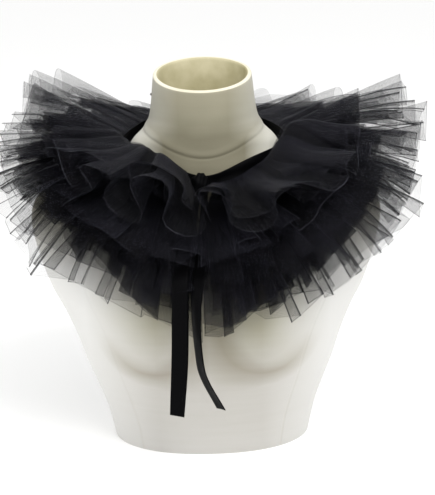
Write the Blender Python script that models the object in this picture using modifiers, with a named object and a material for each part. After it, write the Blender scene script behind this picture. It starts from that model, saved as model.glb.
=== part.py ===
"""Ruff collar of gathered black tulle, tied with a ribbon, on a limbless dress form.

Metres, +Z up. The origin is the middle of the form's flat underside, and the front faces -Y.
Angles round the neck are in degrees from the front, positive towards +X.
"""

import math
from collections import namedtuple

import bmesh
import bpy
from mathutils import Vector

# The dress form, by level, from its flat underside to the rim of its neck.
Section = namedtuple("Section", "height half_width front back squareness")
FORM_SECTIONS = (
    Section(0.000, 0.1090, 0.0820, 0.0720, 2.20),
    Section(0.034, 0.1165, 0.0850, 0.0750, 2.20),
    Section(0.063, 0.1265, 0.0900, 0.0790, 2.25),
    Section(0.091, 0.1370, 0.0960, 0.0840, 2.30),
    Section(0.120, 0.1460, 0.1000, 0.0900, 2.35),
    Section(0.151, 0.1580, 0.1020, 0.0960, 2.45),
    Section(0.178, 0.1710, 0.1000, 0.0990, 2.60),
    Section(0.214, 0.1825, 0.0930, 0.1000, 2.75),
    Section(0.244, 0.1890, 0.0830, 0.0970, 2.75),
    Section(0.262, 0.1880, 0.0760, 0.0940, 2.60),
    Section(0.277, 0.1790, 0.0710, 0.0900, 2.35),
    Section(0.290, 0.1580, 0.0680, 0.0870, 2.15),
    Section(0.302, 0.1270, 0.0655, 0.0840, 2.05),
    Section(0.313, 0.1000, 0.0640, 0.0810, 2.00),
    Section(0.323, 0.0840, 0.0620, 0.0780, 2.00),
    Section(0.334, 0.0755, 0.0600, 0.0740, 2.00),
    Section(0.344, 0.0655, 0.0580, 0.0690, 2.00),
    Section(0.355, 0.0590, 0.0560, 0.0620, 2.00),
    Section(0.372, 0.0557, 0.0545, 0.0550, 2.00),
    Section(0.390, 0.0538, 0.0540, 0.0510, 2.00),
    Section(0.4008, 0.0525, 0.0540, 0.0495, 2.00),
)
FORM_COLUMNS = 48
BUST_HEIGHT = 0.168
BUST_APART = 0.072
BUST_SPREAD = 0.040
BUST_SWELL = 0.013
RIM_TILT = 13.0  # the neck is cut off lower in front
TILT_FROM, TILT_TO = 0.352, 0.4008
WellRing = namedtuple("WellRing", "height inset")
WELL_RINGS = (  # from the rounded rim down to the floor of the open neck
    WellRing(0.4021, 0.0013),
    WellRing(0.4021, 0.0037),
    WellRing(0.4008, 0.0050),
    WellRing(0.3850, 0.0060),
    WellRing(0.3600, 0.0072),
    WellRing(0.3220, 0.0090),
)

# Quantities round the neck are given at five places, and both sides are alike.
PLACES = (0.0, 45.0, 90.0, 135.0, 180.0)  # front, front quarter, side, back quarter, back
NECKLINE_HEIGHT = (0.2900, 0.3090, 0.3215, 0.3320, 0.3380)  # lower edge of the neckband
BAND_CLEAR = 0.0014
BAND_THICK = 0.0015
BAND_TALL = 0.0145
BAND_LEAN = -5.0  # the ribbon leans in to the neck
BAND_COLUMNS = 72
BAND_MIDDLE = -0.0048  # the ribbon is tied a little to the left
BAND_OPENING = 0.0040

# The tulle tiers, lowest first.
Tier = namedtuple("Tier", "name waves points rows seat slope droop length swell overhang seed start wider")
TIERS = (
    Tier("tulle_tier_1", 40, 4, 3, 0.0009, (-50, -38, -9, -30, -38), (-24, -22, -34, -20, -16),
         (0.138, 0.143, 0.139, 0.150, 0.150), (3.5, 3.4, 4.0, 3.8, 3.8), (0.04, 0.04, 0.02, 0.02, 0.02),
         0.3, 0.0, 0.1),
    Tier("tulle_tier_2", 37, 4, 3, 0.0032, (-44, -32, -3, -22, -30), (-20, -16, -28, -14, -12),
         (0.130, 0.144, 0.148, 0.156, 0.152), (4.0, 4.2, 4.8, 4.5, 4.5), (0.04, 0.04, 0.02, 0.02, 0.02),
         1.7, 0.5, 0.1),
    Tier("tulle_tier_3", 36, 4, 3, 0.0054, (-38, -24, 5, -14, -23), (-16, -12, -22, -10, -9),
         (0.120, 0.150, 0.151, 0.156, 0.152), (4.0, 5.0, 5.2, 5.0, 5.0), (0.04, 0.04, 0.02, 0.02, 0.02),
         2.9, 0.5, 0.15),
    Tier("tulle_tier_4", 28, 6, 3, 0.0076, (-25, -11, 16, -7, -16), (-9, -10, -18, -8, -6),
         (0.122, 0.143, 0.147, 0.152, 0.148), (6.5, 6.3, 6.2, 5.0, 5.0), (0.09, 0.07, 0.02, 0.02, 0.02),
         4.4, 0.0, 0.25),
    Tier("tulle_tier_5", 28, 6, 4, 0.0098, (-5, 5, 31, 8, -2), (-8, -8, -16, -16, -10),
         (0.104, 0.122, 0.118, 0.136, 0.134), (12.0, 10.0, 8.5, 5.5, 5.5), (0.13, 0.11, 0.04, 0.03, 0.03),
         5.6, 0.5, 0.35),
)
TULLE_THICK = 0.0010
SEAM_GAP = 0.0009  # between the ribbon and a tier's gathered edge
CLOSED_AT_SEAM = 0.55  # the folds are this much shallower towards the seam
SIDE_LONGER = 0.065  # the tiers reach further on the +X side
SPACING_WANDER = 0.0075  # how far a fold strays from even spacing, in turns
LIFTED_TIER = "tulle_tier_5"  # its left front stands up over the ribbon, then falls
LIFT, LIFT_AT, LIFT_SPREAD = 19.0, -42.0, 24.0
Edge = namedtuple("Edge", "right left")
EDGE_AT_KNOT = Edge(0.0085, -0.0180)
EDGE_BEYOND = Edge(-0.0050, -0.0086)
EDGE_MEET_AT = 0.070

# The ribbon's knot and its two hanging ends.
KNOT_CENTRE = (-0.0048, -0.0770, 0.2955)
KNOT_SIZE = (0.0205, 0.0130, 0.0280)
RIBBON_THICK = 0.0010
Stretch = namedtuple("Stretch", "along sideways forward height width turn")
LEFT_END = (
    Stretch(0.00, -0.0085, 0.0824, 0.2868, 0.0070, 0),
    Stretch(0.05, -0.0100, 0.0945, 0.2812, 0.0080, 0),
    Stretch(0.16, -0.0150, 0.1135, 0.2668, 0.0120, 0),
    Stretch(0.29, -0.0215, 0.1385, 0.2457, 0.0155, 4),
    Stretch(0.39, -0.0250, 0.1570, 0.2284, 0.0168, 4),
    Stretch(0.43, -0.0258, 0.1640, 0.2200, 0.0168, 2),
    Stretch(0.49, -0.0264, 0.1685, 0.2075, 0.0168, 0),
    Stretch(0.58, -0.0270, 0.1700, 0.1850, 0.0168, 0),
    Stretch(0.78, -0.0290, 0.1700, 0.1360, 0.0168, -3),
    Stretch(1.00, -0.0328, 0.1695, 0.0835, 0.0160, -8),
)
RIGHT_END = (
    Stretch(0.00, -0.0005, 0.0824, 0.2868, 0.0070, 0),
    Stretch(0.05, -0.0006, 0.0945, 0.2812, 0.0070, 4),
    Stretch(0.16, -0.0015, 0.1135, 0.2668, 0.0095, 6),
    Stretch(0.29, -0.0035, 0.1385, 0.2457, 0.0115, 8),
    Stretch(0.39, -0.0060, 0.1570, 0.2284, 0.0130, 12),
    Stretch(0.43, -0.0080, 0.1650, 0.2200, 0.0145, 24),
    Stretch(0.49, -0.0100, 0.1710, 0.2075, 0.0160, 44),
    Stretch(0.58, -0.0112, 0.1740, 0.1820, 0.0168, 57),
    Stretch(0.72, -0.0097, 0.1745, 0.1480, 0.0168, 62),
    Stretch(0.82, -0.0060, 0.1745, 0.1240, 0.0168, 60),
    Stretch(1.00, 0.0110, 0.1740, 0.0880, 0.0165, 56),
)
END_STATIONS = 16
CUT_SLANT = 0.006  # the ends are cut off on the slant

# Principled colours, roughness and metallic value.
FORM_COVER = ("form_cover", (0.78, 0.76, 0.68, 1.0), 0.75, 0.0)
BLACK_TULLE = ("black_tulle", (0.015, 0.015, 0.020, 1.0), 0.80, 0.0)
BLACK_RIBBON = ("black_ribbon", (0.008, 0.008, 0.010, 1.0), 0.55, 0.0)


def curve_through(keys, values, at, flat_ends=False):
    """The value at a key, on a smooth curve through the values, with level ends if asked."""
    at = min(max(at, keys[0]), keys[-1])
    last = len(keys) - 1
    low = max(i for i in range(last) if keys[i] <= at)

    def slope(i):
        if flat_ends and i in (0, last):
            return 0.0
        before, after = max(i - 1, 0), min(i + 1, last)
        return (values[after] - values[before]) / (keys[after] - keys[before])

    step = keys[low + 1] - keys[low]
    u = (at - keys[low]) / step
    return (
        values[low] * (1 + 2 * u) * (1 - u) ** 2
        + values[low + 1] * u * u * (3 - 2 * u)
        + slope(low) * step * u * (1 - u) ** 2
        - slope(low + 1) * step * u * u * (1 - u)
    )


def column_at(rows, key, column, at):
    """The value of a table's column at a key."""
    keys = [getattr(row, key) for row in rows]
    values = [getattr(row, column) for row in rows]
    return curve_through(keys, values, at)


def at_angle(values, degrees):
    """A quantity given at PLACES, at any angle round the neck. Both sides are alike."""
    away = abs((degrees + 180.0) % 360.0 - 180.0)
    return curve_through(PLACES, values, away, flat_ends=True)


def form_section(height, inset=0.0):
    """The form's half width, front and back depth and squareness at a level."""
    half_width, front, back, squareness = (
        column_at(FORM_SECTIONS, "height", column, height)
        for column in ("half_width", "front", "back", "squareness")
    )
    return half_width - inset, front - inset, back - inset, squareness


def rim_fall(height):
    """How steeply a level ring of the neck is tilted forward."""
    share = min(max((height - TILT_FROM) / (TILT_TO - TILT_FROM), 0.0), 1.0)
    return share * math.tan(math.radians(RIM_TILT))


def well_point(ring, degrees):
    """A point of the open neck's inner wall, which follows the rim's outline."""
    point = form_point(FORM_SECTIONS[-1].height, degrees, ring.inset)
    point.z = ring.height + point.y * rim_fall(ring.height)
    return point


def form_point(height, degrees, inset=0.0):
    """A point of the form's outer surface, or of one set in from it."""
    half_width, front, back, squareness = form_section(height, inset)
    across, ahead = math.sin(math.radians(degrees)), math.cos(math.radians(degrees))
    power = 2.0 / squareness
    x = math.copysign(half_width * abs(across) ** power, across)
    depth = front if ahead > 0 else back
    y = -math.copysign(depth * abs(ahead) ** power, ahead)
    if ahead > 0:
        for side in (-1, 1):
            off = (x - side * BUST_APART) ** 2 + (height - BUST_HEIGHT) ** 2
            y -= BUST_SWELL * ahead ** 0.5 * math.exp(-off / (2 * BUST_SPREAD ** 2))
    return Vector((x, y, height + y * rim_fall(height)))


def form_radius(height, degrees):
    """How far the form reaches from the axis at a level, in a direction."""
    half_width, front, back, squareness = form_section(height)
    across, ahead = math.sin(math.radians(degrees)), math.cos(math.radians(degrees))
    depth = front if ahead > 0 else back
    total = abs(across / half_width) ** squareness + abs(ahead / depth) ** squareness
    return total ** (-1.0 / squareness)


def outward(degrees):
    """The level direction away from the neck at an angle."""
    return Vector((math.sin(math.radians(degrees)), -math.cos(math.radians(degrees)), 0.0))


def neckline_point(degrees):
    """A point of the neckline, on the form."""
    height = at_angle(NECKLINE_HEIGHT, degrees)
    point = outward(degrees) * form_radius(height, degrees)
    point.z = height
    return point


def band_point(degrees, up, out):
    """A point of the neckband: up its face from the lower edge, and out from the form."""
    lean = math.radians(BAND_LEAN)
    stand = outward(degrees) * math.sin(lean) + Vector((0, 0, math.cos(lean)))
    away = outward(degrees) * math.cos(lean) - Vector((0, 0, math.sin(lean)))
    return neckline_point(degrees) + stand * up + away * (BAND_CLEAR + out)


def unevenness(turn, seed):
    """A smooth wander between -1 and 1 along a tier."""
    return (
        0.5 * math.sin(math.tau * 3.1 * turn + seed)
        + 0.3 * math.sin(math.tau * 7.3 * turn + 2.1 * seed)
        + 0.2 * math.sin(math.tau * 13.7 * turn + 3.7 * seed)
    )


def front_edge(side, reach, radius):
    """The angle of a tier's front edge: the two stand apart at the knot and nearly meet beyond."""
    near, far = getattr(EDGE_AT_KNOT, side), getattr(EDGE_BEYOND, side)
    share = min(reach / EDGE_MEET_AT, 1.0)
    return math.degrees(math.asin((near + (far - near) * share * share * (3 - 2 * share)) / radius))


def tier_slope(tier, degrees):
    """A tier's slope at its seam, and how much further it has turned down at its hem."""
    slope, droop = at_angle(tier.slope, degrees), at_angle(tier.droop, degrees)
    if tier.name == LIFTED_TIER:
        off = (degrees + 180.0) % 360.0 - 180.0 - LIFT_AT
        lift = LIFT * math.exp(-off * off / (2 * LIFT_SPREAD ** 2))
        slope += lift
        droop -= 2 * lift
    return math.radians(slope), math.radians(droop)


def tulle_point(tier, turn, share):
    """A point of a tier's cloth: turn runs round the neck and share from the seam to the hem."""
    wander = SPACING_WANDER * unevenness(turn, tier.seed)
    wander *= min(1.0, 12 * turn, 12 * (1 - turn))
    wander += tier.wider * (math.sin(math.tau * turn) + math.sin(2 * math.tau * turn) / 4) / math.tau
    phase = math.tau * (tier.waves * turn + tier.start)
    loop = at_angle(tier.overhang, 360.0 * turn) / tier.waves * math.sin(2 * phase) * share
    around = 360.0 * (turn + wander + loop)
    length = at_angle(tier.length, around) * (1 + SIDE_LONGER * math.sin(math.radians(around)))
    length *= 1 + 0.03 * unevenness(turn, tier.seed + 9.0)
    reach = share * length
    radius = neckline_point(around).to_2d().length + BAND_THICK + reach
    right = front_edge("right", reach, radius)
    left = front_edge("left", reach, radius)
    degrees = right + around / 360.0 * (360.0 - right + left)

    slope, droop = tier_slope(tier, degrees)
    chord = slope + droop * share / 2
    heading = slope + droop * share
    point = band_point(degrees, tier.seat, BAND_THICK + SEAM_GAP)
    point += (outward(degrees) * math.cos(chord) + Vector((0, 0, math.sin(chord)))) * reach
    swell = math.tan(math.radians(at_angle(tier.swell, degrees))) * reach
    swell *= (1 - CLOSED_AT_SEAM * (1 - share)) * (0.80 + 0.20 * unevenness(turn, tier.seed + 4.0))
    normal = Vector((0, 0, math.cos(heading))) - outward(degrees) * math.sin(heading)
    return point + normal * swell * math.cos(phase)


def ribbon_point(rows, along, across):
    """A point of a hanging ribbon end: across runs from -1 to 1 over its width."""

    def centre(at):
        values = (column_at(rows, "along", c, at) for c in ("sideways", "forward", "height"))
        x, forward, z = values
        return Vector((x, -forward, z))

    step = 0.01
    path = (centre(min(along + step, 1.0)) - centre(max(along - step, 0.0))).normalized()
    turn = math.radians(column_at(rows, "along", "turn", along))
    level = (Vector((1, 0, 0)) - path * path.x).normalized()
    side = level * math.cos(turn) + path.cross(level) * math.sin(turn)
    half = column_at(rows, "along", "width", along) / 2
    slant = path * CUT_SLANT * across * max(0.0, (along - 0.9) / 0.1)
    return centre(along) + side * half * across + slant


def make_material(name, colour, roughness, metallic):
    material = bpy.data.materials.new(name)
    material.use_nodes = True
    shader = material.node_tree.nodes["Principled BSDF"]
    shader.inputs["Base Color"].default_value = colour
    shader.inputs["Roughness"].default_value = roughness
    shader.inputs["Metallic"].default_value = metallic
    material.diffuse_color = colour
    return material


def object_from(mesh_data, name, material, collection):
    mesh = bpy.data.meshes.new(name)
    mesh_data.to_mesh(mesh)
    mesh_data.free()
    mesh.materials.append(material)
    mesh.shade_smooth()
    made = bpy.data.objects.new(name, mesh)
    collection.objects.link(made)
    return made


def make_shell(name, rows, thickness, material, collection):
    """A wall of even thickness on an open net of points, given as rows of equal length."""
    net = bmesh.new()
    corners = [[net.verts.new(point) for point in row] for row in rows]
    for lower, upper in zip(corners, corners[1:]):
        for i in range(len(lower) - 1):
            net.faces.new((lower[i], lower[i + 1], upper[i + 1], upper[i]))
    bmesh.ops.triangulate(net, faces=net.faces[:], quad_method="SHORT_EDGE")
    made = object_from(net, name, material, collection)
    wall = made.modifiers.new("Wall", "SOLIDIFY")
    wall.thickness = thickness
    wall.offset = 0.0
    wall.use_even_offset = True
    wall.thickness_clamp = 1.0
    return made


def make_form(material, collection):
    """The torso and neck as one loft, whose last rings go down into the open neck."""
    angles = [360.0 * i / FORM_COLUMNS for i in range(FORM_COLUMNS)]
    outlines = [[form_point(section.height, angle) for angle in angles] for section in FORM_SECTIONS]
    outlines += [[well_point(ring, angle) for angle in angles] for ring in WELL_RINGS]
    loft = bmesh.new()
    rings = [[loft.verts.new(point) for point in outline] for outline in outlines]
    for lower, upper in zip(rings, rings[1:]):
        for i in range(FORM_COLUMNS):
            j = (i + 1) % FORM_COLUMNS
            loft.faces.new((lower[i], lower[j], upper[j], upper[i]))
    loft.faces.new(list(reversed(rings[0])))
    loft.faces.new(rings[-1])
    made = object_from(loft, "dress_form", material, collection)
    made.data.set_sharp_from_angle(angle=math.radians(50))
    return made


def make_neckband(material, collection):
    """The ribbon bound round the gathered edges, open behind the knot."""
    radius = neckline_point(0.0).to_2d().length
    start = math.degrees((BAND_MIDDLE + BAND_OPENING) / radius)
    turned = 360.0 - math.degrees(2 * BAND_OPENING / radius)
    angles = [start + turned * i / BAND_COLUMNS for i in range(BAND_COLUMNS + 1)]
    rows = [[band_point(angle, up, BAND_THICK / 2) for angle in angles] for up in (0.0, BAND_TALL)]
    return make_shell("neckband", rows, BAND_THICK, material, collection)


def make_tier(tier, material, collection):
    """One gathered strip of tulle, from one front edge round the back to the other."""
    steps = tier.waves * tier.points
    offset = 0.5 if tier.points == 4 else 0.0  # four points a wave are set either side of its crest
    turns = [0.0] + [(i + offset) / steps for i in range(1, steps)] + [1.0]
    shares = [i / tier.rows for i in range(tier.rows + 1)]
    rows = [[tulle_point(tier, turn, share) for turn in turns] for share in shares]
    return make_shell(tier.name, rows, TULLE_THICK, material, collection)


def make_ribbon_end(name, rows, material, collection):
    stations = [i / END_STATIONS for i in range(END_STATIONS + 1)]
    net = [[ribbon_point(rows, along, across) for along in stations] for across in (-1, 1)]
    return make_shell(name, net, RIBBON_THICK, material, collection)


def make_knot(material, collection):
    """The ribbon's knot, pulled tight in front of the neckband's opening."""
    ball = bmesh.new()
    bmesh.ops.create_uvsphere(ball, u_segments=14, v_segments=9, radius=0.5)
    for corner in ball.verts:
        corner.co = corner.co * Vector(KNOT_SIZE) + Vector(KNOT_CENTRE)
    return object_from(ball, "ribbon_knot", material, collection)


def clear_scene():
    for made in list(bpy.data.objects):
        bpy.data.objects.remove(made, do_unlink=True)


def main():
    clear_scene()
    collection = bpy.data.collections.new("ruff_collar_on_dress_form")
    bpy.context.scene.collection.children.link(collection)
    cover, tulle, ribbon = (make_material(*look) for look in (FORM_COVER, BLACK_TULLE, BLACK_RIBBON))
    make_form(cover, collection)
    make_neckband(ribbon, collection)
    for tier in TIERS:
        make_tier(tier, tulle, collection)
    make_knot(ribbon, collection)
    make_ribbon_end("ribbon_end_left", LEFT_END, ribbon, collection)
    make_ribbon_end("ribbon_end_right", RIGHT_END, ribbon, collection)


main()
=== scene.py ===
"""The looks of a black tulle ruff collar on a cream limbless dress form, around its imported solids.

Metres, +Z up, the front faces -Y. Angles round the neck are in degrees from the front,
positive towards +X.
"""

import math
import random
from collections import namedtuple

import bmesh
import bpy
import numpy as np
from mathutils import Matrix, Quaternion, Vector


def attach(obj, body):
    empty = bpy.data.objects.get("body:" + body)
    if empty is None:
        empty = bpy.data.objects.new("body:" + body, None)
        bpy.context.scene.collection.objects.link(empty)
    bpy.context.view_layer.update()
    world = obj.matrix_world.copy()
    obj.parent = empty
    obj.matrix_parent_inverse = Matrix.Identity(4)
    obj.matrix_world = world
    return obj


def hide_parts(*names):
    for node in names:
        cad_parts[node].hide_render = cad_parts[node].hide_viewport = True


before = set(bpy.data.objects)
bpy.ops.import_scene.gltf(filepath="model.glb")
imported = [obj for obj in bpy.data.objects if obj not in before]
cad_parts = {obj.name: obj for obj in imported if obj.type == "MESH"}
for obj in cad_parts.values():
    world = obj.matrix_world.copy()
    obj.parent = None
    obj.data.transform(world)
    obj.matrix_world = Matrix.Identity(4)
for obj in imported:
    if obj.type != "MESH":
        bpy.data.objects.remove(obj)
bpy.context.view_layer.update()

# Camera and light
LENS = 100.0
DISTANCE = 1.5125
AIM = (0.0115, 0.0, 0.209)
ELEVATION = 15.0
ROLL = -1.5
WORLD_LIGHT = 1.0
# Each lamp's name, power, size and place
LAMPS = (("key", 34.0, 1.0, (0.7, -1.2, 1.9)), ("fill", 8.0, 1.4, (-1.4, -1.0, 1.0)))
LAMPS_AIM = (0.0, 0.0, 0.22)

# The dress form, by level, from its flat underside to the rim of its neck
Section = namedtuple("Section", "height half_width front back squareness")
FORM_SECTIONS = (
    Section(0.000, 0.1090, 0.0820, 0.0720, 2.20),
    Section(0.034, 0.1165, 0.0850, 0.0750, 2.20),
    Section(0.063, 0.1265, 0.0900, 0.0790, 2.25),
    Section(0.091, 0.1370, 0.0960, 0.0840, 2.30),
    Section(0.120, 0.1460, 0.1000, 0.0900, 2.35),
    Section(0.151, 0.1580, 0.1020, 0.0960, 2.45),
    Section(0.178, 0.1710, 0.1000, 0.0990, 2.60),
    Section(0.214, 0.1825, 0.0930, 0.1000, 2.75),
    Section(0.244, 0.1890, 0.0830, 0.0970, 2.75),
    Section(0.262, 0.1880, 0.0760, 0.0940, 2.60),
    Section(0.277, 0.1790, 0.0710, 0.0900, 2.35),
    Section(0.290, 0.1580, 0.0680, 0.0870, 2.15),
    Section(0.302, 0.1270, 0.0655, 0.0840, 2.05),
    Section(0.313, 0.1000, 0.0640, 0.0810, 2.00),
    Section(0.323, 0.0840, 0.0620, 0.0780, 2.00),
    Section(0.334, 0.0755, 0.0600, 0.0740, 2.00),
    Section(0.344, 0.0655, 0.0580, 0.0690, 2.00),
    Section(0.355, 0.0590, 0.0560, 0.0620, 2.00),
    Section(0.372, 0.0557, 0.0545, 0.0550, 2.00),
    Section(0.390, 0.0538, 0.0540, 0.0510, 2.00),
    Section(0.4008, 0.0525, 0.0540, 0.0495, 2.00),
)
FORM_COLUMNS = 240
BUST_HEIGHT, BUST_APART, BUST_SPREAD, BUST_SWELL = 0.168, 0.072, 0.040, 0.013
CUP_HEIGHT, CUP_APART, CUP_RADIUS, CUP_SWELL = 0.143, 0.058, 0.050, 0.006
RIM_TILT, TILT_FROM, TILT_TO = 13.0, 0.352, 0.4008
WellRing = namedtuple("WellRing", "height inset")
WELL_RINGS = (
    WellRing(0.4016, 0.0004),
    WellRing(0.4021, 0.0013),
    WellRing(0.4023, 0.0025),
    WellRing(0.4021, 0.0037),
    WellRing(0.4016, 0.0046),
    WellRing(0.3998, 0.0052),
    WellRing(0.3850, 0.0060),
    WellRing(0.3600, 0.0072),
    WellRing(0.3260, 0.0086),
    WellRing(0.3222, 0.0110),
)
# Where the cover's upright seams run, in hundreds of degrees
FRONT_SEAM, BACK_SEAMS = 0.41, (0.95, 1.42, 1.797)
LIP_HEIGHT = (0.3215, 0.3375, 0.3460, 0.3510, 0.3530)
LIP_SWELL, LIP_GROOVE = 0.0008, 0.0007
# The cover's rows of points: from, to and how many. They are closer at the foot of the neck.
COVER_ROWS = ((0.0, 0.300, 76), (0.3015, 0.360, 60), (0.364, 0.4008, 14))
RIM_ROWS = 4

# The neckline and the ribbon bound round it
PLACES = (0.0, 45.0, 90.0, 135.0, 180.0)
NECKLINE_HEIGHT = (0.2900, 0.3090, 0.3215, 0.3320, 0.3380)
BAND_CLEAR, BAND_THICK, BAND_TALL, BAND_LEAN = 0.0014, 0.0015, 0.0145, -5.0
BAND_MIDDLE, BAND_OPENING = -0.0048, 0.0040
KNOT_CENTRE = (-0.0048, -0.0770, 0.2955)
KNOT_SIZE = (0.0205, 0.0130, 0.0280)
KNOT_RUN, KNOT_ACROSS = 0.028, 0.020

# The tulle tiers, lowest first
Tier = namedtuple("Tier", "name waves seat slope droop length swell overhang seed start wider")
TIERS = (
    Tier("tulle_tier_1", 40, 0.0009, (-50, -38, -9, -30, -38), (-24, -22, -34, -20, -16),
         (0.138, 0.143, 0.139, 0.150, 0.150), (3.5, 3.4, 4.0, 3.8, 3.8), (0.04, 0.04, 0.02, 0.02, 0.02),
         0.3, 0.0, 0.1),
    Tier("tulle_tier_2", 37, 0.0032, (-44, -32, -3, -22, -30), (-20, -16, -28, -14, -12),
         (0.130, 0.144, 0.148, 0.156, 0.152), (4.0, 4.2, 4.8, 4.5, 4.5), (0.04, 0.04, 0.02, 0.02, 0.02),
         1.7, 0.5, 0.1),
    Tier("tulle_tier_3", 36, 0.0054, (-38, -24, 5, -14, -23), (-16, -12, -22, -10, -9),
         (0.120, 0.150, 0.151, 0.156, 0.152), (4.0, 5.0, 5.2, 5.0, 5.0), (0.04, 0.04, 0.02, 0.02, 0.02),
         2.9, 0.5, 0.15),
    Tier("tulle_tier_4", 28, 0.0076, (-25, -11, 16, -7, -16), (-9, -10, -18, -8, -6),
         (0.122, 0.143, 0.147, 0.152, 0.148), (6.5, 6.3, 6.2, 5.0, 5.0), (0.09, 0.07, 0.02, 0.02, 0.02),
         4.4, 0.0, 0.25),
    Tier("tulle_tier_5", 28, 0.0098, (-5, 5, 31, 8, -2), (-8, -8, -16, -16, -10),
         (0.104, 0.122, 0.118, 0.136, 0.134), (12.0, 10.0, 8.5, 5.5, 5.5), (0.13, 0.11, 0.04, 0.03, 0.03),
         5.6, 0.5, 0.35),
)
SEAM_GAP = 0.0009
CLOSED_AT_SEAM = 0.55
SIDE_LONGER = 0.065
SPACING_WANDER = 0.0075
LIFTED_TIER = "tulle_tier_5"
Lift = namedtuple("Lift", "at spread slope")
LIFTS = (
    Lift(-42.0, 24.0, 19.0),
    Lift(-127.0, 15.0, 8.0),
    Lift(-157.0, 9.0, -5.0),
    Lift(108.0, 10.0, -5.0),
    Lift(160.0, 9.0, 5.0),
)
Edge = namedtuple("Edge", "right left")
EDGE_AT_KNOT = Edge(0.0085, -0.0180)
EDGE_BEYOND = Edge(-0.0050, -0.0086)
EDGE_MEET_AT = 0.070

# The plies of net in each tier: the flat width of its strip, the pleats folded into it (none for a
# ply left in soft loops), how far each pleat is turned under as a share of its width, its height
# in degrees, how far the ply's waves stray from the tier's own, their size, its lift, its reach
# by PLACES, how much shorter it is on the left side (longer if below 0), how ragged its hem is,
# its net and the seed of its unevenness
Ply = namedtuple("Ply", "tier letter cut pleats under fold shift wave rise reach left jag net seed")
LOW_OUTER = (1.07, 1.02, 0.86, 0.92, 0.96)
OUTER = (1.02, 0.95, 0.90, 0.94, 0.97)
WIDE_OUTER = (1.02, 0.95, 0.98, 0.94, 0.97)
LOW_INNER = (1.15, 0.82, 0.62, 0.76, 0.84)
INNER = (1.00, 0.70, 0.62, 0.76, 0.84)
INNER_HIGH = (1.00, 0.60, 0.50, 0.65, 0.84)
SHORT = (0.90, 0.70, 0.54, 0.64, 0.72)
FRONT = (0.98, 0.92, 0.46, 0.56, 0.66)
FRONT_UNDER = (0.86, 0.78, 0.38, 0.50, 0.62)
ROOT = (0.72, 0.58, 0.34, 0.46, 0.60)
SIDES = (0.60, 0.66, 0.62, 0.90, 0.92)
WING = (0.60, 0.74, 1.13, 0.96, 0.92)
PLIES = (
    Ply(0, "a", 1.75, 50, 0.12, 2.8, 0.00, 1.00, 0.0, LOW_OUTER, -0.10, 0.050, "sheer", 11),
    Ply(0, "b", 2.05, 50, 0.30, 2.8, 0.40, 0.70, 0.3, LOW_INNER, 0.00, 0.060, "close", 12),
    Ply(1, "a", 1.95, 46, 0.14, 3.0, 0.00, 1.00, 0.0, LOW_OUTER, -0.10, 0.055, "sheer", 21),
    Ply(1, "b", 2.20, 48, 0.36, 3.0, 0.35, 0.60, 0.3, LOW_INNER, -0.02, 0.060, "close", 22),
    Ply(2, "a", 2.05, 42, 0.14, 3.4, 0.00, 1.00, 0.0, OUTER, -0.07, 0.055, "sheer", 31),
    Ply(2, "b", 2.30, 44, 0.38, 3.2, 0.45, 0.60, 0.3, INNER, -0.30, 0.060, "close", 32),
    Ply(2, "c", 1.85, 40, 0.30, 3.2, 0.70, 0.60, 0.0, SHORT, -0.12, 0.060, "close", 33),
    Ply(3, "a", 2.05, 36, 0.14, 3.2, 0.00, 1.10, 0.0, WIDE_OUTER, 0.03, 0.050, "sheer", 41),
    Ply(3, "b", 2.25, 36, 0.36, 3.0, 0.40, 0.80, 0.3, INNER_HIGH, -0.60, 0.060, "close", 42),
    Ply(3, "c", 1.10, 0, 0.00, 0.0, 0.15, 1.30, 0.2, SHORT, 0.04, 0.030, "upper", 43),
    Ply(4, "a", 1.35, 0, 0.00, 0.0, 0.00, 1.30, 0.0, FRONT, 0.00, 0.030, "upper", 51),
    Ply(4, "b", 1.20, 0, 0.00, 0.0, 0.12, 1.15, 0.1, FRONT_UNDER, 0.06, 0.030, "upper", 52),
    Ply(4, "c", 1.60, 30, 0.14, 3.2, 0.60, 0.80, -0.2, WING, 0.15, 0.050, "sheer", 53),
    Ply(4, "d", 1.50, 30, 0.34, 3.0, 0.30, 0.80, -0.1, ROOT, -0.85, 0.050, "close", 54),
    Ply(4, "e", 1.45, 0, 0.00, 0.0, 0.40, 1.90, 0.1, SIDES, -0.58, 0.040, "sheer", 55),
)
PLY_ROWS, LOOP_POINTS = 14, 18
# How wide a crease is, as a turn
CREASE = 0.0005
# Where the tulle is sewn low on the ribbon, right of the knot
BARE_RIBBON_AT, BARE_RIBBON_SPREAD, BARE_RIBBON_DROP = 26.0, 17.0, 0.8
# Where the top tier stands up over the ribbon: on the left of the front and past its right end
Puff = namedtuple("Puff", "at spread height peak")
PUFFS = (Puff(-32.0, 20.0, 0.014, 0.14), Puff(62.0, 10.0, 0.026, 0.26), Puff(-72.0, 14.0, 0.012, 0.20))

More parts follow.
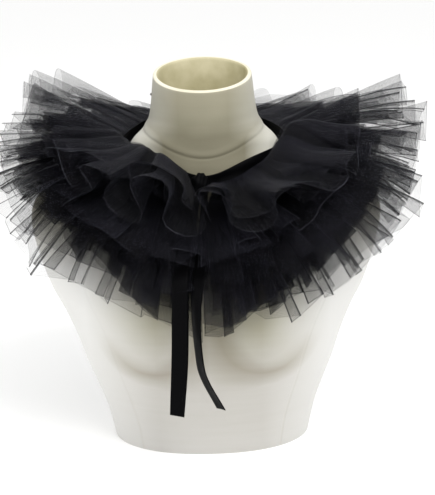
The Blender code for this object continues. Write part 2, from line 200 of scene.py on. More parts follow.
# The ribbon's two hanging ends
Stretch = namedtuple("Stretch", "along sideways forward height width turn")
LEFT_END = (
    Stretch(0.00, -0.0085, 0.0824, 0.2868, 0.0070, 0),
    Stretch(0.05, -0.0100, 0.0945, 0.2812, 0.0080, 0),
    Stretch(0.16, -0.0150, 0.1135, 0.2668, 0.0120, 0),
    Stretch(0.29, -0.0215, 0.1385, 0.2457, 0.0155, 4),
    Stretch(0.39, -0.0250, 0.1570, 0.2284, 0.0168, 4),
    Stretch(0.43, -0.0258, 0.1640, 0.2200, 0.0168, 2),
    Stretch(0.49, -0.0264, 0.1685, 0.2075, 0.0168, 0),
    Stretch(0.58, -0.0270, 0.1700, 0.1850, 0.0168, 0),
    Stretch(0.78, -0.0290, 0.1700, 0.1360, 0.0168, -6),
    Stretch(1.00, -0.0334, 0.1695, 0.0800, 0.0160, -26),
)
RIGHT_END = (
    Stretch(0.00, -0.0005, 0.0824, 0.2868, 0.0070, 0),
    Stretch(0.05, -0.0006, 0.0945, 0.2812, 0.0070, 4),
    Stretch(0.16, -0.0015, 0.1135, 0.2668, 0.0095, 6),
    Stretch(0.29, -0.0035, 0.1385, 0.2457, 0.0115, 8),
    Stretch(0.39, -0.0060, 0.1570, 0.2284, 0.0130, 12),
    Stretch(0.43, -0.0080, 0.1650, 0.2200, 0.0145, 24),
    Stretch(0.49, -0.0100, 0.1710, 0.2075, 0.0160, 44),
    Stretch(0.58, -0.0112, 0.1740, 0.1820, 0.0168, 57),
    Stretch(0.72, -0.0097, 0.1745, 0.1480, 0.0168, 62),
    Stretch(0.82, -0.0060, 0.1745, 0.1240, 0.0168, 60),
    Stretch(1.00, 0.0110, 0.1740, 0.0880, 0.0165, 56),
)
LEFT_SLANT, RIGHT_SLANT = 0.0024, 0.0005
RIBBON_THICK, RIBBON_LONG, RIBBON_WIDE = 0.0005, 0.245, 0.0165

# The cover's tones, from the underside to the top of the neck: yellower upwards, and darkened from the
# chest to the foot of the neck (darkest at 0.70 to 0.80) as painted shade of the ruff
COVER_TONES_AND_RUFF_SHADE = (
    (0.22, (0.45, 0.435, 0.405, 1)),
    (0.30, (0.40, 0.385, 0.335, 1)),
    (0.38, (0.33, 0.315, 0.240, 1)),
    (0.50, (0.32, 0.30, 0.225, 1)),
    (0.70, (0.185, 0.170, 0.115, 1)),
    (0.80, (0.150, 0.138, 0.090, 1)),
    (0.88, (0.235, 0.220, 0.155, 1)),
    (0.95, (0.290, 0.270, 0.195, 1)),
)
WAIST_TONE = (0.46, 0.45, 0.43, 1)
NECK_TONE = (0.33, 0.31, 0.24, 1)
# Paler shoulders beside the neck, and the painted light on the neck's flanks
SHOULDER_AND_LIT_NECK_TONE = (0.55, 0.54, 0.48, 1)
# Painted light on the torso's sides
LIT_FLANK_TONE = (0.60, 0.595, 0.575, 1)
SEAM_TONE = (0.72, 0.66, 0.52, 1)
STREAK_TONE = (0.70, 0.68, 0.60, 1)
HOLLOW_TONE = (0.55, 0.505, 0.41, 1)
# The rim: cream, painted pale as a highlight along its top, with stains
RIM_CREAM_AND_HIGHLIGHT = (0.66, 0.63, 0.52, 1)
RIM_STAIN = (0.58, 0.54, 0.41, 1)
WELL_TONE = (0.47, 0.43, 0.28, 1)
WELL_STAIN = (0.30, 0.27, 0.14, 1)
SEAM_WIDE, SEAMS_END = 0.012, 0.275
COVER_TOP = 0.42
WEAVE, SOFT_LUMPS = 900.0, 40.0
PIN_AT, PIN_HEAD = (-0.0549, -0.004, 0.381), (0.0012, 0.0015, 0.0015)
PIN_BRIGHT = (0.40, 0.39, 0.37, 1)
PIN_DULL = (0.28, 0.27, 0.25, 1)
FLOOR_TONE = (0.96, 0.96, 0.955, 1)
FLOOR_HALF = 30

# The net: how much its holes and its threads hide, how far in from the hem it is bunched to the
# full, and its tones down in the folds (painted shade), up on them (painted light) and on its cut edge (a
# painted highlight on the upper plies)
SHEER_BLACK = (0.010, 0.010, 0.014, 1)
# Painted shade down in the net's folds
FOLD_SHADE_BLACK = (0.003, 0.003, 0.004, 1)
LIT_BLACK = (0.0085, 0.0085, 0.012, 1)
# A painted highlight along the upper plies' cut edge, which is also denser
HEM_HIGHLIGHT_GREY = (0.045, 0.045, 0.055, 1)
Net = namedtuple("Net", "name holes threads depth hollow ridge edge")
NETS = {
    "sheer": Net("black_net_sheer", 0.08, 0.42, 0.120, FOLD_SHADE_BLACK, SHEER_BLACK, SHEER_BLACK),
    "close": Net("black_net_close", 0.24, 0.75, 0.080, FOLD_SHADE_BLACK, SHEER_BLACK, SHEER_BLACK),
    "upper": Net("black_net_upper", 0.34, 0.85, 0.070, FOLD_SHADE_BLACK, LIT_BLACK, HEM_HIGHLIGHT_GREY),
}
NET_CELLS, NET_UNEVEN, NET_THREAD = 640.0, 0.35, 0.11
NYLON_SHEEN = (0.60, 0.62, 0.78, 1)
HEM_WIDE, HEM_DENSER = 0.0009, 0.30
CREASE_DENSER = 0.85
GATHERS, GATHERS_DRAWN_OUT = 130.0, (1.0, 0.05, 1.0)
SATIN_BLACK = (0.0012, 0.0012, 0.0015, 1)
SATIN_RIBS = 420.0


# Curves through tables

def curve_through(keys, values, at, flat_ends=False):
    """The value at a key, on a smooth curve through the values."""
    at = min(max(at, keys[0]), keys[-1])
    last = len(keys) - 1
    low = max(i for i in range(last) if keys[i] <= at)

    def slope(i):
        if flat_ends and i in (0, last):
            return 0.0
        before, after = max(i - 1, 0), min(i + 1, last)
        return (values[after] - values[before]) / (keys[after] - keys[before])

    step = keys[low + 1] - keys[low]
    u = (at - keys[low]) / step
    return (
        values[low] * (1 + 2 * u) * (1 - u) ** 2
        + values[low + 1] * u * u * (3 - 2 * u)
        + slope(low) * step * u * (1 - u) ** 2
        - slope(low + 1) * step * u * u * (1 - u)
    )


def column_at(rows, key, column, at):
    keys = [getattr(row, key) for row in rows]
    return curve_through(keys, [getattr(row, column) for row in rows], at)


AWAY = np.linspace(0.0, 180.0, 361)
DENSE = {}


def apart(degrees, place):
    """How far round the neck an angle lies from a place, negative to its left."""
    return (np.asarray(degrees) - place + 180.0) % 360.0 - 180.0


def at_angle(values, degrees):
    """A quantity given at PLACES, at many angles round the neck. Both sides are alike."""
    if values not in DENSE:
        DENSE[values] = np.array([curve_through(PLACES, values, a, flat_ends=True) for a in AWAY])
    return np.interp(np.abs(apart(degrees, 0.0)), AWAY, DENSE[values])


# The form's surface

def form_section(height):
    columns = ("half_width", "front", "back", "squareness")
    return [column_at(FORM_SECTIONS, "height", column, height) for column in columns]


def rim_fall(height):
    share = min(max((height - TILT_FROM) / (TILT_TO - TILT_FROM), 0.0), 1.0)
    return share * math.tan(math.radians(RIM_TILT))


def form_point(height, degrees, inset=0.0):
    """A point of the form's surface, or of one set in from it."""
    half_width, front, back, squareness = form_section(height)
    across, ahead = math.sin(math.radians(degrees)), math.cos(math.radians(degrees))
    power = 2.0 / squareness
    x = math.copysign((half_width - inset) * abs(across) ** power, across)
    depth = (front if ahead > 0 else back) - inset
    y = -math.copysign(depth * abs(ahead) ** power, ahead)
    if ahead > 0:
        for side in (-1, 1):
            off = (x - side * BUST_APART) ** 2 + (height - BUST_HEIGHT) ** 2
            y -= BUST_SWELL * ahead ** 0.5 * math.exp(-off / (2 * BUST_SPREAD ** 2))
            cup = (x - side * CUP_APART) ** 2 + (height - CUP_HEIGHT) ** 2
            y -= CUP_SWELL * ahead ** 0.5 * math.exp(-(cup / CUP_RADIUS ** 2) ** 2)
    return Vector((x, y, height + y * rim_fall(height)))


def form_radius(height, degrees):
    half_width, front, back, squareness = form_section(height)
    across, ahead = math.sin(math.radians(degrees)), math.cos(math.radians(degrees))
    depth = front if ahead > 0 else back
    total = abs(across / half_width) ** squareness + abs(ahead / depth) ** squareness
    return total ** (-1.0 / squareness)


def neckline_radius(degrees):
    """How far the neckline lies from the axis, at many angles."""
    if "radius" not in DENSE:
        heights = at_angle(NECKLINE_HEIGHT, AWAY)
        DENSE["radius"] = np.array([form_radius(h, a) for h, a in zip(heights, AWAY)])
    return np.interp(np.abs(apart(degrees, 0.0)), AWAY, DENSE["radius"])


# The tulle's surface

def unevenness(turn, seed):
    """A smooth wander between -1 and 1 along a tier."""
    return (
        0.5 * np.sin(math.tau * 3.1 * turn + seed)
        + 0.3 * np.sin(math.tau * 7.3 * turn + 2.1 * seed)
        + 0.2 * np.sin(math.tau * 13.7 * turn + 3.7 * seed)
    )


def front_edge(side, reach, radius):
    near, far = getattr(EDGE_AT_KNOT, side), getattr(EDGE_BEYOND, side)
    share = np.minimum(reach / EDGE_MEET_AT, 1.0)
    return np.degrees(np.arcsin((near + (far - near) * share * share * (3 - 2 * share)) / radius))


def spacing(tier, turn):
    """How far the tier's waves are shifted round the neck, as a turn."""
    wander = SPACING_WANDER * unevenness(turn, tier.seed)
    wander = wander * np.clip(np.minimum(12 * turn, 12 * (1 - turn)), 0, 1)
    return wander + tier.wider * (np.sin(math.tau * turn) + np.sin(2 * math.tau * turn) / 4) / math.tau


def looseness(tier, ply, turn):
    """Where a point lies in the ply's waves, how loose and how big they are, and how they sag."""
    phase = math.tau * (tier.waves * turn + tier.start + ply.shift)
    if ply.pleats:
        return phase, 1.0, 1.0, 0.0
    phase = phase + 1.9 * unevenness(1.7 * turn, ply.seed)
    loose = 1.7 + 1.1 * unevenness(2.3 * turn, ply.seed + 1.0)
    size = 0.95 + 0.55 * unevenness(1.9 * turn, ply.seed + 2.0)
    size = size * (1 - 0.35 * np.abs(np.sin(math.pi * turn)))
    sag = 12.0 * unevenness(1.3 * turn, ply.seed + 3.0)
    return phase, loose, size, sag


def ply_length(tier, ply, turn, around, ragged):
    """How long the ply is from its seam to its hem."""
    length = at_angle(tier.length, around) * (1 + SIDE_LONGER * np.sin(np.radians(around)))
    length = length * (1 + 0.03 * unevenness(turn, tier.seed + 9.0)) * at_angle(ply.reach, around)
    length = length * (1 + 0.055 * unevenness(1.1 * turn, ply.seed + 5.0))
    leftward = np.clip(-np.sin(np.radians(around)), 0, 1)
    return length * (1 - ply.left * leftward) * (1 + ply.jag * ragged)


def slopes(tier, ply, turn, degrees):
    """The ply's slope at its seam, and its droop from there to the hem, in degrees."""
    slope, droop = at_angle(tier.slope, degrees), at_angle(tier.droop, degrees)
    slope = slope + 3.5 * unevenness(1.6 * turn, ply.seed + 6.0)
    if tier.name == LIFTED_TIER:
        for lift in LIFTS:
            off = apart(degrees, lift.at) / lift.spread
            more = lift.slope * np.exp(-off * off / 2)
            slope, droop = slope + more, droop - 2 * np.maximum(more - 8.0, 0.0)
    return slope, droop


def puffed(tier, ply, degrees, share):
    """How far the loose plies at the top stand up over the ribbon."""
    rise = 0.0
    if tier.name == LIFTED_TIER and not ply.pleats:
        for puff in PUFFS:
            off = apart(degrees, puff.at) / puff.spread
            bump = share / puff.peak * np.exp(1 - share / puff.peak)
            rise = rise + puff.height * np.exp(-off * off / 2) * bump
    return rise


def seam_place(tier, degrees):
    """How far out and how high the tier's gathered edge lies on the ribbon."""
    lean = math.radians(BAND_LEAN)
    turned = apart(degrees, 0.0) - BARE_RIBBON_AT
    low = np.exp(-turned * turned / (2 * BARE_RIBBON_SPREAD ** 2))
    seat = tier.seat * (1 - BARE_RIBBON_DROP * low)
    off = BAND_CLEAR + BAND_THICK + SEAM_GAP
    out = neckline_radius(degrees) + math.sin(lean) * seat + math.cos(lean) * off
    up = at_angle(NECKLINE_HEIGHT, degrees) + math.cos(lean) * seat - math.sin(lean) * off
    return out, up


def tulle_points(tier, ply, turn, share, height, ragged):
    """Points of a ply, its length and how far up each point lies on a fold.

    turn runs round the neck, and share from the seam to the hem.
    """
    phase, loose, size, sag = looseness(tier, ply, turn)
    loop = loose * at_angle(tier.overhang, 360.0 * turn) / tier.waves * np.sin(2 * phase) * share
    around = 360.0 * (turn + spacing(tier, turn) + loop)
    length = ply_length(tier, ply, turn, around, ragged)
    reach = share * length
    radius = neckline_radius(around) + BAND_THICK + reach
    right = front_edge("right", reach, radius)
    left = front_edge("left", reach, radius)
    degrees = right + around / 360.0 * (360.0 - right + left)

    slope, droop = slopes(tier, ply, turn, degrees)
    droop = droop - sag
    chord = np.radians(slope + droop * share / 2)
    heading = np.radians(slope + droop * share)
    swell = np.tan(np.radians(at_angle(tier.swell, degrees)))
    closed = 1 - CLOSED_AT_SEAM * (1 - share)
    wave = (0.80 + 0.20 * unevenness(turn, tier.seed + 4.0)) * np.cos(phase) * ply.wave * size
    rise = (swell * (wave + ply.rise) + math.tan(math.radians(ply.fold)) * height) * reach * closed
    rise = rise + puffed(tier, ply, degrees, share)

    out, up = seam_place(tier, degrees)
    out = out + np.cos(chord) * reach - np.sin(heading) * rise
    up = up + np.sin(chord) * reach + np.cos(heading) * rise
    angle = np.radians(degrees)
    points = np.stack([np.sin(angle) * out, -np.cos(angle) * out, up], axis=-1)
    # ridge: how high a point lies on a fold, which the net's colour turns into painted shade in the folds
    # and painted light on the crests
    crest = (0.35 if ply.pleats else 0.5) * np.cos(phase) * size
    ridge = np.clip(0.5 + crest + 0.25 * height, 0, 1) ** 1.7
    return points, length, ridge


def pleat_columns(ply):
    """The columns of a pleated strip: where each lies as a turn, its height and its slant.

    Each pleat runs forward over the next, and then back under itself.
    """
    maker = random.Random(ply.seed)
    if not ply.pleats:
        count = TIERS[ply.tier].waves * LOOP_POINTS
        turn = np.linspace(0.0, 1.0, count + 1)
        return np.stack([turn, 0 * turn, 0 * turn, unevenness(turn, ply.seed), 0 * turn], axis=-1)
    widths = [maker.uniform(0.55, 1.5) for _ in range(ply.pleats)]
    total = sum(widths)
    corners = [(0.0, maker.uniform(-1, 1), 0.0, 0.0)]
    edge = 0.0
    for width in widths[:-1]:
        edge += width / total
        under = ply.under * maker.uniform(0.3, 1.5) * width / total
        slant = maker.uniform(-0.35, 0.35) / ply.pleats
        tip = maker.uniform(-1, 1)
        corners.append((edge + under, maker.uniform(0.3, 1.0), slant, tip))
        slant += maker.uniform(-0.12, 0.12) / ply.pleats
        corners.append((edge - under, maker.uniform(-1.0, -0.3), slant, tip + maker.uniform(-0.6, 0.6)))
    corners.append((1.0, maker.uniform(-1, 1), 0.0, 0.0))
    columns = []
    for here, there in zip(corners, corners[1:]):
        width = abs(there[0] - here[0])
        beside = min(CREASE / max(width, 1e-6), 0.3)
        for u in (0.0, beside, 0.5, 1 - beside):
            bulge = 0.25 * math.sin(math.pi * u) * (1 if there[0] > here[0] else -1)
            place = [a + (b - a) * u for a, b in zip(here, there)]
            place[1] += bulge
            columns.append(place + [1.0 if u == 0.0 else 0.0])
    columns.append(list(corners[-1]) + [0.0])
    return np.array(columns)


# Making meshes

def add_map(made, name, places):
    layer = made.uv_layers.new(name=name)
    corner = np.empty(len(made.loops), dtype=np.int32)
    made.loops.foreach_get("vertex_index", corner)
    layer.data.foreach_set("uv", places.reshape(-1, 2)[corner].astype(np.float32).ravel())


def mesh_object(name, points, faces, uv=None):
    made = bpy.data.meshes.new(name)
    made.from_pydata(points, [], faces)
    if uv is not None:
        add_map(made, "cloth", uv)
    made.shade_smooth()
    piece = bpy.data.objects.new(name, made)
    bpy.context.scene.collection.objects.link(piece)
    return piece


def grid_object(name, points, uv=None, closed=False):
    """A mesh from a grid of points, rows by columns, joined round if closed."""
    rows, columns = points.shape[:2]
    index = np.arange(rows * columns).reshape(rows, columns)
    ahead = np.roll(index, -1, axis=1) if closed else index[:, 1:]
    behind = index if closed else index[:, :-1]
    faces = np.stack([behind[:-1], ahead[:-1], ahead[1:], behind[1:]], axis=-1).reshape(-1, 4)
    return mesh_object(name, points.reshape(-1, 3).tolist(), faces.tolist(), uv)


def ball(rings, columns):
    """The points of a ball of radius 1, from its top to its bottom, and its faces."""
    points = [Vector((0, 0, 1))]
    for ring in range(1, rings):
        down = math.pi * ring / rings
        for column in range(columns):
            turn = math.tau * column / columns
            out = math.sin(down)
            points.append(Vector((out * math.cos(turn), out * math.sin(turn), math.cos(down))))
    points.append(Vector((0, 0, -1)))
    bottom = len(points) - 1
    faces = []
    for column in range(columns):
        here, ahead = 1 + column, 1 + (column + 1) % columns
        faces.append((0, here, ahead))
        for _ in range(rings - 2):
            faces.append((here, here + columns, ahead + columns, ahead))
            here, ahead = here + columns, ahead + columns
        faces.append((bottom, ahead, here))
    return points, faces


def dress(piece, material, slot, *nodes):
    piece.data.materials.append(material)
    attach(piece, "root")
    if nodes:
        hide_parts(*nodes)
    return piece


# Materials

class Shading:
    """A new material, with short ways to add to its nodes."""

    def __init__(self, name):
        self.material = bpy.data.materials.new(name)
        self.material.use_nodes = True
        self.nodes = self.material.node_tree.nodes
        self.links = self.material.node_tree.links
        self.shader = self.nodes["Principled BSDF"]

    def put(self, socket, value):
        """Gives a socket a fixed value, or joins another node's to it."""
        if isinstance(value, bpy.types.NodeSocket):
            self.links.new(value, socket)
        else:
            socket.default_value = value

    def surface(self, values):
        for name, value in values.items():
            self.put(self.shader.inputs[name], value)

    def add(self, kind, inputs, **settings):
        made = self.nodes.new(kind)
        for key, value in settings.items():
            setattr(made, key, value)
        for name, value in inputs.items():
            self.put(made.inputs[name], value)
        return made

    def sum(self, operation, first, second=None, clamp=False):
        made = self.add("ShaderNodeMath", {}, operation=operation, use_clamp=clamp)
        self.put(made.inputs[0], first)
        if second is not None:
            self.put(made.inputs[1], second)
        return made.outputs[0]

    def plus(self, first, second, clamp=False):
        return self.sum("ADD", first, second, clamp)

    def minus(self, first, second, clamp=False):
        return self.sum("SUBTRACT", first, second, clamp)

    def times(self, first, second, clamp=False):
        return self.sum("MULTIPLY", first, second, clamp)

    def over(self, first, second, clamp=False):
        return self.sum("DIVIDE", first, second, clamp)

    def size(self, value):
        return self.sum("ABSOLUTE", value)

    def rises(self, value, start, by):
        """0 up to a start, and from there up to 1 in so much."""
        return self.over(self.minus(value, start), by, clamp=True)

    def falls(self, value, end, by):
        """1 at first, and down to 0 at an end in so much."""
        return self.over(self.minus(end, value), by, clamp=True)

    def cloth(self, name="cloth"):
        return self.add("ShaderNodeUVMap", {}, uv_map=name).outputs["UV"]

    def place(self):
        return self.add("ShaderNodeTexCoord", {}).outputs["Object"]

    def split(self, vector):
        made = self.add("ShaderNodeSeparateXYZ", {"Vector": vector})
        return [made.outputs[axis] for axis in "XYZ"]

    def scaled(self, vector, scale):
        return self.add("ShaderNodeMapping", {"Vector": vector, "Scale": scale}).outputs["Vector"]

    def noise(self, vector, scale, detail=2.0, dimensions="3D"):
        inputs = {"Vector": vector, "Scale": scale, "Detail": detail}
        return self.add("ShaderNodeTexNoise", inputs, noise_dimensions=dimensions).outputs["Fac"]

    def mix(self, factor, first, second, blend="MIX"):
        inputs = {"Factor": factor, "A": first, "B": second}
        return self.add("ShaderNodeMix", inputs, data_type="RGBA", blend_type=blend).outputs["Result"]

    def relief(self, height, strength, distance):
        inputs = {"Height": height, "Strength": strength, "Distance": distance}
        self.surface({"Normal": self.add("ShaderNodeBump", inputs).outputs["Normal"]})


def tulle_material(net):
    """Black nylon net, gathered in fine streaks towards the seam, with a darker line on each crease,
    painted shade down in its folds, painted light on their crests and, on the upper plies, a painted
    highlight along the hem.
    """
    nylon = Shading(net.name)
    nylon.surface({"Roughness": 0.6, "Specular IOR Level": 0.08})
    nylon.surface({"Sheen Weight": 0.05, "Sheen Roughness": 0.35, "Sheen Tint": NYLON_SHEEN})
    place = nylon.cloth()
    from_hem = nylon.split(place)[1]
    cells = nylon.add(
        "ShaderNodeTexVoronoi",
        {"Scale": NET_CELLS, "Randomness": NET_UNEVEN, "Vector": place},
        voronoi_dimensions="2D",
        feature="DISTANCE_TO_EDGE",
    )
    thread = nylon.sum("LESS_THAN", cells.outputs["Distance"], NET_THREAD)
    cover = nylon.plus(nylon.times(thread, net.threads - net.holes), net.holes)

    gathers = nylon.noise(nylon.scaled(place, GATHERS_DRAWN_OUT), GATHERS, dimensions="2D")
    bunched = nylon.over(from_hem, net.depth, clamp=True)
    streak = nylon.times(nylon.minus(gathers, 0.5), nylon.plus(nylon.times(bunched, 0.9), 0.5))
    more = nylon.plus(nylon.plus(nylon.times(bunched, 0.8), 0.95), streak)
    # height here is how high on a fold, for the painted shade in the folds and painted light on the
    # crests
    crease, height, _ = nylon.split(nylon.cloth("crease"))
    cover = nylon.plus(nylon.times(cover, more), nylon.times(crease, CREASE_DENSER))

    fade = nylon.minus(nylon.noise(place, 14.0, dimensions="2D"), 0.38)
    # hem: the denser cut edge, whose tone on the upper plies is a painted highlight
    hem = nylon.times(nylon.sum("LESS_THAN", from_hem, HEM_WIDE), nylon.times(fade, 4.0, clamp=True))
    cover = nylon.plus(cover, nylon.times(hem, HEM_DENSER), clamp=True)
    tone = nylon.mix(hem, nylon.mix(height, net.hollow, net.ridge), net.edge)
    nylon.surface({"Alpha": cover, "Base Color": tone})
    nylon.relief(gathers, 0.35, 0.0008)
    return nylon.material


def ribbon_material():
    """Black satin ribbon with a fine crosswise rib, duller in patches."""
    satin = Shading("black_satin_ribbon")
    place = satin.cloth()
    worn = satin.noise(place, 60.0, dimensions="2D")
    satin.surface({"Base Color": SATIN_BLACK, "Specular IOR Level": 0.03})
    satin.surface({"Roughness": satin.plus(satin.times(worn, 0.18), 0.34)})
    inputs = {"Scale": SATIN_RIBS, "Distortion": 0.6, "Vector": place}
    rib = satin.add("ShaderNodeTexWave", inputs, wave_type="BANDS", bands_direction="X")
    satin.relief(rib.outputs["Fac"], 0.25, 0.0002)
    return satin.material


def stained_cloth(name, colour, stain):
    """Cotton with soft stains."""
    cotton = Shading(name)
    patch = cotton.noise(cotton.place(), 26.0, detail=4.0)
    spread = cotton.times(cotton.minus(patch, 0.36), 3.0, clamp=True)
    cotton.surface({"Roughness": 0.7, "Base Color": cotton.mix(spread, colour, stain)})
    return cotton.material


def cover_by_level(cotton, place, z):
    """The cover's tones from the waist to the neck, yellower upwards and with painted shade of the ruff
    on the chest and the foot of the neck, their edges wandering up and down.
    """
    patch = cotton.noise(place, 9.0, detail=3.0)
    level = cotton.plus(z, cotton.times(cotton.minus(patch, 0.5), 0.10))
    ramp = cotton.add("ShaderNodeValToRGB", {"Fac": cotton.over(level, COVER_TOP)})
    stops = ramp.color_ramp.elements
    stops[0].position, stops[0].color = 0.0, WAIST_TONE
    stops[1].position, stops[1].color = 1.0, NECK_TONE
    # The dark stops on the chest and at the foot of the neck are painted shade of the ruff.
    for position, colour in COVER_TONES_AND_RUFF_SHADE:
        stops.new(position).color = colour
    return ramp.outputs["Color"]


def pale_and_lit_beside_neck(cotton, sideways, z):
    """Where the cover is paler: the shoulders close to the neck, and the neck's flanks, which are painted
    lighter as painted light from both sides.
    """
    shoulders = cotton.times(cotton.rises(sideways, 0.042, 0.026), cotton.falls(z, 0.362, 0.020))
    shoulders = cotton.times(shoulders, cotton.rises(z, 0.285, 0.030))
    # The neck's flanks are painted lighter: painted light falling on them from the sides.
    lit_flanks = cotton.times(cotton.rises(z, 0.335, 0.020), cotton.rises(sideways, 0.026, 0.026))
    return cotton.sum("MAXIMUM", shoulders, cotton.times(lit_flanks, 0.48))


def upright_seams(cotton, z):
    """Where the cover's seams run, 1 in the middle of each."""
    turned = cotton.size(cotton.split(cotton.cloth())[0])
    away = cotton.size(cotton.minus(turned, FRONT_SEAM))
    for seam in BACK_SEAMS:
        away = cotton.sum("MINIMUM", away, cotton.size(cotton.minus(turned, seam)))
    line = cotton.minus(1.0, cotton.over(away, SEAM_WIDE), clamp=True)
    return cotton.times(line, cotton.sum("LESS_THAN", z, SEAMS_END))


def bust_shade(cotton, sideways, y, z):
    """How dark the soft shade below each side of the bust is. It is wider towards the middle."""
    across = cotton.minus(sideways, CUP_APART)
    down = cotton.minus(CUP_HEIGHT, z)
    away = cotton.sum("SQRT", cotton.plus(cotton.times(across, across), cotton.times(down, down)))
    off = cotton.size(cotton.minus(away, CUP_RADIUS * 0.92))
    inward = cotton.over(across, -0.050, clamp=True)
    width = cotton.plus(cotton.times(inward, 0.020), 0.017)
    curve = cotton.minus(1.0, cotton.over(off, width), clamp=True)
    low = cotton.plus(down, cotton.times(inward, 0.050))
    curve = cotton.times(curve, cotton.over(low, 0.045, clamp=True))
    return cotton.times(curve, cotton.sum("LESS_THAN", y, 0.0))


def form_material():
    """Cream cotton stretched over the form, yellower towards the neck, with painted shade of the ruff
    below it, painted light on the neck's flanks and the torso's sides, painted shade below the bust,
    seams and fine weave.
    """
    cotton = Shading("cream_form_cover")
    place = cotton.place()
    x, y, z = cotton.split(place)
    sideways = cotton.size(x)
    tone = cover_by_level(cotton, place, z)
    tone = cotton.mix(pale_and_lit_beside_neck(cotton, sideways, z), tone, SHOULDER_AND_LIT_NECK_TONE)
    streaks = cotton.noise(cotton.scaled(place, (5.0, 5.0, 70.0)), 2.0, detail=4.0)
    tone = cotton.mix(cotton.times(streaks, 0.35), tone, STREAK_TONE, "MULTIPLY")
    seam = upright_seams(cotton, z)
    tone = cotton.mix(cotton.times(seam, 0.22), tone, SEAM_TONE, "MULTIPLY")
    # The torso's sides below the bust are painted paler: painted light on them.
    lit_flank = cotton.times(cotton.rises(sideways, 0.055, 0.075), cotton.falls(z, 0.27, 0.06))
    tone = cotton.mix(lit_flank, tone, LIT_FLANK_TONE)
    shade = cotton.times(bust_shade(cotton, sideways, y, z), 0.70)
    tone = cotton.mix(shade, tone, HOLLOW_TONE, "MULTIPLY")
    cotton.surface({"Roughness": 0.72, "Sheen Weight": 0.12, "Base Color": tone})
    weave = cotton.times(cotton.noise(place, WEAVE, detail=1.0), 0.3)
    lumps = cotton.times(cotton.noise(place, SOFT_LUMPS), 1.2)
    cotton.relief(cotton.minus(cotton.plus(weave, lumps), seam), 0.5, 0.0005)
    return cotton.material


def pin_material():
    """Steel, dulled in patches."""
    steel = Shading("pin_steel")
    dull = steel.noise(steel.place(), 900.0)
    steel.surface({"Metallic": 1.0, "Roughness": steel.plus(steel.times(dull, 0.30), 0.18)})
    steel.surface({"Base Color": steel.mix(dull, PIN_BRIGHT, PIN_DULL)})
    return steel.material


def floor_material():
    floor = Shading("pale_floor")
    floor.surface({"Base Color": FLOOR_TONE, "Roughness": 0.9})
    return floor.material


# The form

def lip_relief(above):
    """The turned edge at the foot of the neck: a low ridge, and a groove just below it."""
    ridge = LIP_SWELL * math.exp(-((above - 0.003) / 0.0035) ** 2)
    return ridge - LIP_GROOVE * math.exp(-((above + 0.0006) / 0.0011) ** 2)


def make_form(material):
    """The cloth-covered form, with its rim and the well in its neck."""
    heights = [height for rows in COVER_ROWS for height in np.linspace(*rows)]
    angles = np.linspace(-180.0, 180.0, FORM_COLUMNS, endpoint=False)
    lip = at_angle(LIP_HEIGHT, angles)
    rows, places = [], []
    for height in heights:
        row = []
        for angle, edge in zip(angles, lip):
            point = form_point(height, angle)
            outward = Vector((point.x, point.y, 0)).normalized()
            row.append(point + outward * lip_relief(height - edge))
        rows.append(row)
        places.append([(angle / 100.0, height) for angle in angles])
    top = FORM_SECTIONS[-1].height
    for ring in WELL_RINGS:
        row = []
        for angle in angles:
            point = form_point(top, angle, ring.inset)
            point.z = ring.height + point.y * rim_fall(ring.height)
            row.append(point)
        rows.append(row)
        places.append([(angle / 100.0, ring.height) for angle in angles])
    points = np.array([[tuple(p) for p in row] for row in rows])
    piece = grid_object("form_cover", points, np.array(places), closed=True)
    count = len(angles)
    for face in piece.data.polygons:
        row = face.index // count - (len(heights) - 1)
        face.material_index = 0 if row < 0 else 1 if row < RIM_ROWS else 2
    edit = bmesh.new()
    edit.from_mesh(piece.data)
    edit.verts.ensure_lookup_table()
    edit.faces.new([edit.verts[i] for i in reversed(range(count))])
    first = len(edit.verts) - count
    edit.faces.new([edit.verts[first + i] for i in range(count)]).material_index = 2
    edit.to_mesh(piece.data)
    edit.free()
    piece.data.set_sharp_from_angle(angle=math.radians(60))
    dress(piece, material, "form_cover", "dress_form")
    # The rim's cream is painted pale as a highlight along its top.
    piece.data.materials.append(stained_cloth("cream_rim", RIM_CREAM_AND_HIGHLIGHT, RIM_STAIN))
    piece.data.materials.append(stained_cloth("yellowed_well", WELL_TONE, WELL_STAIN))
    return piece


def make_pin(material):
    """The head of a pin left in the side of the neck."""
    points, faces = ball(12, 20)
    points = [point * Vector(PIN_HEAD) + Vector(PIN_AT) for point in points]
    return dress(mesh_object("neck_pin", points, faces), material, "form_cover")


# The ribbon

def make_neckband(material):
    """The ribbon round the neckline, a little creased along its length."""
    count, rows = 260, 9
    radius = float(neckline_radius(0.0))
    start = math.degrees((BAND_MIDDLE + BAND_OPENING) / radius)
    turned = 360.0 - math.degrees(2 * BAND_OPENING / radius)
    angles = start + turned * np.linspace(0, 1, count)
    up = np.linspace(0.0, BAND_TALL, rows)[:, None]
    lean = math.radians(BAND_LEAN)
    crease = 0.0005 * np.sin(up / BAND_TALL * 7.0 + np.radians(angles)[None, :] * 5.0)
    crease = crease + 0.0004 * np.sin(up / BAND_TALL * 3.0 - np.radians(angles)[None, :] * 11.0)
    off = BAND_CLEAR + 0.0009 + crease
    out = neckline_radius(angles)[None, :] + math.sin(lean) * up + math.cos(lean) * off
    high = at_angle(NECKLINE_HEIGHT, angles)[None, :] + math.cos(lean) * up - math.sin(lean) * off
    angle = np.radians(angles)[None, :]
    points = np.stack([np.sin(angle) * out, -np.cos(angle) * out, high + 0 * out], axis=-1)
    run = np.radians(angles)[None, :] * 0.08 + 0 * up
    piece = grid_object("ribbon_neckband", points, np.stack([run, up + 0 * run], axis=-1))
    wall = piece.modifiers.new("wall", "SOLIDIFY")
    wall.thickness, wall.offset = RIBBON_THICK, 0.0
    dress(piece, material, "black_ribbon", "neckband")
    return piece


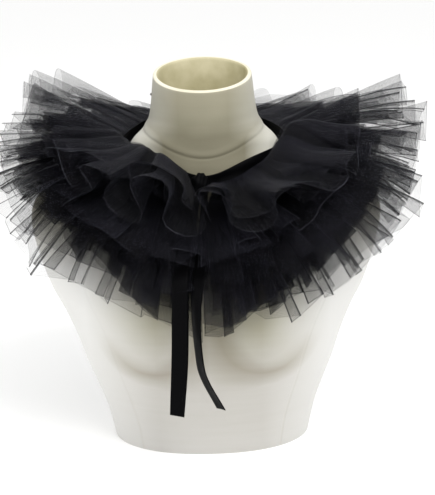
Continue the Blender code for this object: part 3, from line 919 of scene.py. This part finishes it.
def make_ribbon_end(name, rows, slant_by, material, node_name):
    """A hanging end of the ribbon, cut off on the slant."""
    count, across_count = 120, 7

    def centre(at):
        x, forward, z = (column_at(rows, "along", c, at) for c in ("sideways", "forward", "height"))
        return Vector((x, -forward, z))

    points, places = [], []
    for across in np.linspace(-1, 1, across_count):
        line, marks = [], []
        for along in np.linspace(0, 1, count):
            step = 0.01
            path = (centre(min(along + step, 1.0)) - centre(max(along - step, 0.0))).normalized()
            turn = math.radians(column_at(rows, "along", "turn", along))
            level = (Vector((1, 0, 0)) - path * path.x).normalized()
            side = level * math.cos(turn) + path.cross(level) * math.sin(turn)
            face = side.cross(path)
            width = column_at(rows, "along", "width", along)
            cup = 0.0006 * math.sin(along * 9.0) * (1 - across * across)
            slant = path * slant_by * across * max(0.0, (along - 0.9) / 0.1)
            line.append(tuple(centre(along) + side * width / 2 * across + face * cup + slant))
            marks.append((along * RIBBON_LONG, across * width / 2))
        points.append(line)
        places.append(marks)
    piece = grid_object(name, np.array(points), np.array(places))
    wall = piece.modifiers.new("wall", "SOLIDIFY")
    wall.thickness, wall.offset = RIBBON_THICK, 0.0
    dress(piece, material, "black_ribbon", node_name)
    return piece


def wrapped(point):
    """A point of the knot's surface in its own box, creased by the ribbon wrapped round it."""
    x, y, z = point
    wrap = 0.05 * math.sin(7.0 * z + 3.0 * x) + 0.035 * math.sin(11.0 * x - 4.0 * z + 1.0)
    waist = 1.0 - 0.10 * math.exp(-((z + 0.1) / 0.28) ** 2)
    return Vector((x * waist, y, z)) * (0.5 * (0.97 + wrap))


def make_knot(material):
    """The tight knot: a ribbon wrapped over itself, with soft diagonal creases."""
    points, faces = ball(40, 64)
    points = [wrapped(point) for point in points]
    places = np.array([(point.z * KNOT_RUN, point.x * KNOT_ACROSS) for point in points])
    points = [point * Vector(KNOT_SIZE) + Vector(KNOT_CENTRE) for point in points]
    piece = mesh_object("ribbon_tie_knot", points, faces, places)
    return dress(piece, material, "black_ribbon", "ribbon_knot")


# The tulle

def make_ply(ply, material):
    tier = TIERS[ply.tier]
    columns = pleat_columns(ply)
    share = np.linspace(0.0, 1.0, PLY_ROWS)[:, None]
    turn = columns[None, :, 0] + columns[None, :, 2] * (share - 0.35)
    turn = np.clip(turn, 0.0, 1.0)
    height = columns[None, :, 1] + 0 * share
    ragged = columns[None, :, 3] + 0 * share
    points, length, ridge = tulle_points(tier, ply, turn, share + 0 * turn, height, ragged)
    steps = np.linalg.norm(np.diff(points[-1], axis=0), axis=1)
    run = np.concatenate([[0.0], np.cumsum(steps)])
    from_hem = (1 - share) * length
    places = np.stack([run[None, :] + 0 * share, from_hem], axis=-1)
    piece = grid_object(f"{tier.name}_ply_{ply.letter}", points, places)
    crease = columns[None, :, 4] + 0 * share
    # The crease map also carries ridge, for the painted shade and light of the folds.
    add_map(piece.data, "crease", np.stack([crease, ridge], axis=-1))
    piece.data.set_sharp_from_angle(angle=math.radians(35))
    dress(piece, material, "black_tulle", tier.name)
    return piece


# Camera, light and floor

def make_camera(scene):
    data = bpy.data.cameras.new("camera")
    data.lens = LENS
    camera = bpy.data.objects.new("camera", data)
    scene.collection.objects.link(camera)
    rise = math.radians(ELEVATION)
    away = Vector((0.0, -math.cos(rise), math.sin(rise)))
    camera.location = Vector(AIM) + away * DISTANCE
    turn = (-away).to_track_quat("-Z", "Y") @ Quaternion((0, 0, 1), math.radians(ROLL))
    camera.rotation_euler = turn.to_euler()
    scene.camera = camera


def make_lights(scene):
    world = bpy.data.worlds.new("studio")
    world.use_nodes = True
    world.node_tree.nodes["Background"].inputs["Color"].default_value = (1, 1, 1, 1)
    world.node_tree.nodes["Background"].inputs["Strength"].default_value = WORLD_LIGHT
    scene.world = world
    for name, power, size, at in LAMPS:
        light = bpy.data.lights.new(name, "AREA")
        light.energy, light.size = power, size
        lamp = bpy.data.objects.new(name, light)
        lamp.location = at
        lamp.rotation_euler = (Vector(LAMPS_AIM) - Vector(at)).to_track_quat("-Z", "Y").to_euler()
        scene.collection.objects.link(lamp)


def make_stage():
    scene = bpy.context.scene
    scene.view_settings.view_transform = "Standard"
    scene.cycles.transparent_max_bounces = 32
    make_camera(scene)
    make_lights(scene)
    corners = [[(x, y, 0.0) for x in (-FLOOR_HALF, FLOOR_HALF)] for y in (-FLOOR_HALF, FLOOR_HALF)]
    floor = grid_object("floor", np.array(corners))
    floor.data.materials.append(floor_material())


make_stage()
make_form(form_material())
make_pin(pin_material())
satin = ribbon_material()
make_knot(satin)
make_neckband(satin)
make_ribbon_end("ribbon_end_left_strip", LEFT_END, LEFT_SLANT, satin, "ribbon_end_left")
make_ribbon_end("ribbon_end_right_strip", RIGHT_END, RIGHT_SLANT, satin, "ribbon_end_right")
nets = {key: tulle_material(net) for key, net in NETS.items()}
for ply in PLIES:
    make_ply(ply, nets[ply.net])
